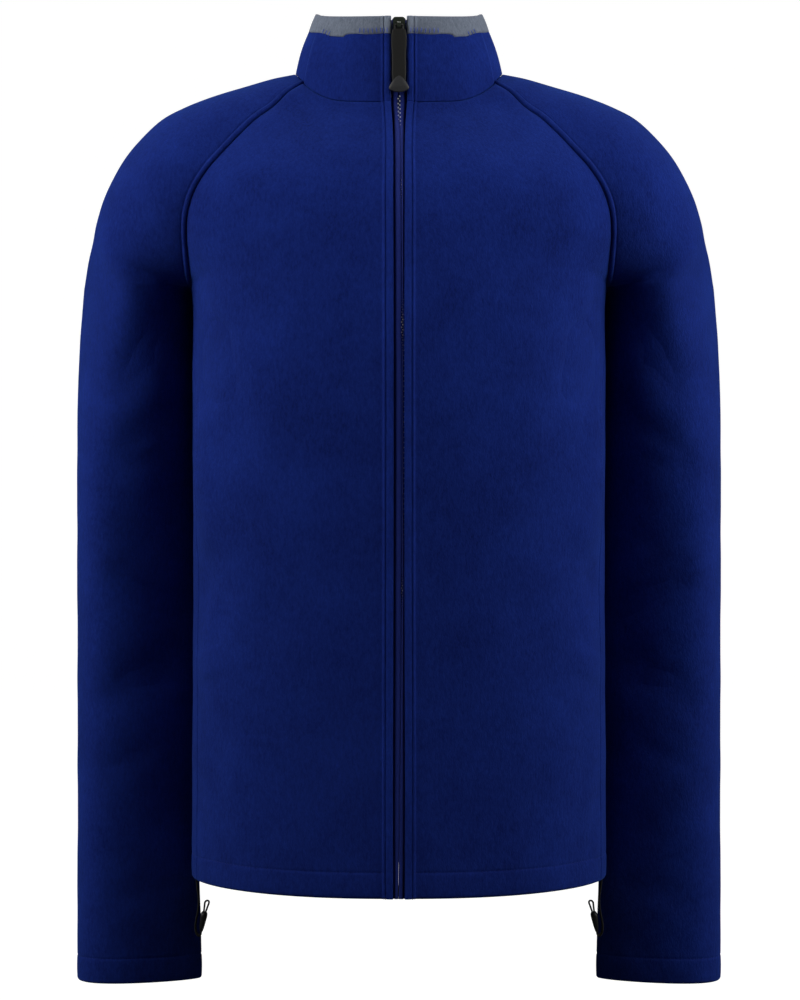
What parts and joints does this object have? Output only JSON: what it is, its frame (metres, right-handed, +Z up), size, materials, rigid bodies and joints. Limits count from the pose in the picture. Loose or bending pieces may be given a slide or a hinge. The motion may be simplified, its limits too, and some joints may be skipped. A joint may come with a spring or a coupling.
{
  "type": "fleece zip jacket",
  "caption": "Hollow worn fleece jacket with raglan sleeves, stand collar, full front zip and hem cord locks.",
  "frame": {"origin": "on the mid plane inside the neck, level with the shoulders where the collar starts", "axes": "+Z up, the front faces -Y, +X on the wearer's left"},
  "size_m": [0.5218, 0.2419, 0.7793],
  "materials": {
    "fleece": "napped royal blue fleece",
    "grey_fleece": "matte grey knit",
    "zip_tape": "woven dark blue tape",
    "black_plastic": "moulded black plastic",
    "elastic_cord": "braided black elastic"
  },
  "bodies": {
    "jacket": {"front_left": "fleece", "front_right": "fleece", "back": "fleece", "sleeve_left": "fleece", "sleeve_right": "fleece", "collar": "fleece", "collar_facing": "grey_fleece", "zip_tape_left": "zip_tape", "zip_tape_right": "zip_tape", "zip_slider": "black_plastic", "zip_box": "black_plastic", "pocket_left": "fleece", "hem_cord_front_left": "elastic_cord", "hem_cord_back_left": "elastic_cord", "cord_loop_left": "elastic_cord", "cord_lock_left": "black_plastic", "pocket_right": "fleece", "hem_cord_front_right": "elastic_cord", "hem_cord_back_right": "elastic_cord", "cord_loop_right": "elastic_cord", "cord_lock_right": "black_plastic"},
    "puller": {"zip_puller": "black_plastic"}
  },
  "joints": [
    {"name": "puller_hinge", "type": "hinge", "parent": "jacket", "child": "puller", "pos_m": [0, -0.06635, 0.0385], "axis": [-1, 0, 0], "range_deg": [0, 150]}
  ]
}
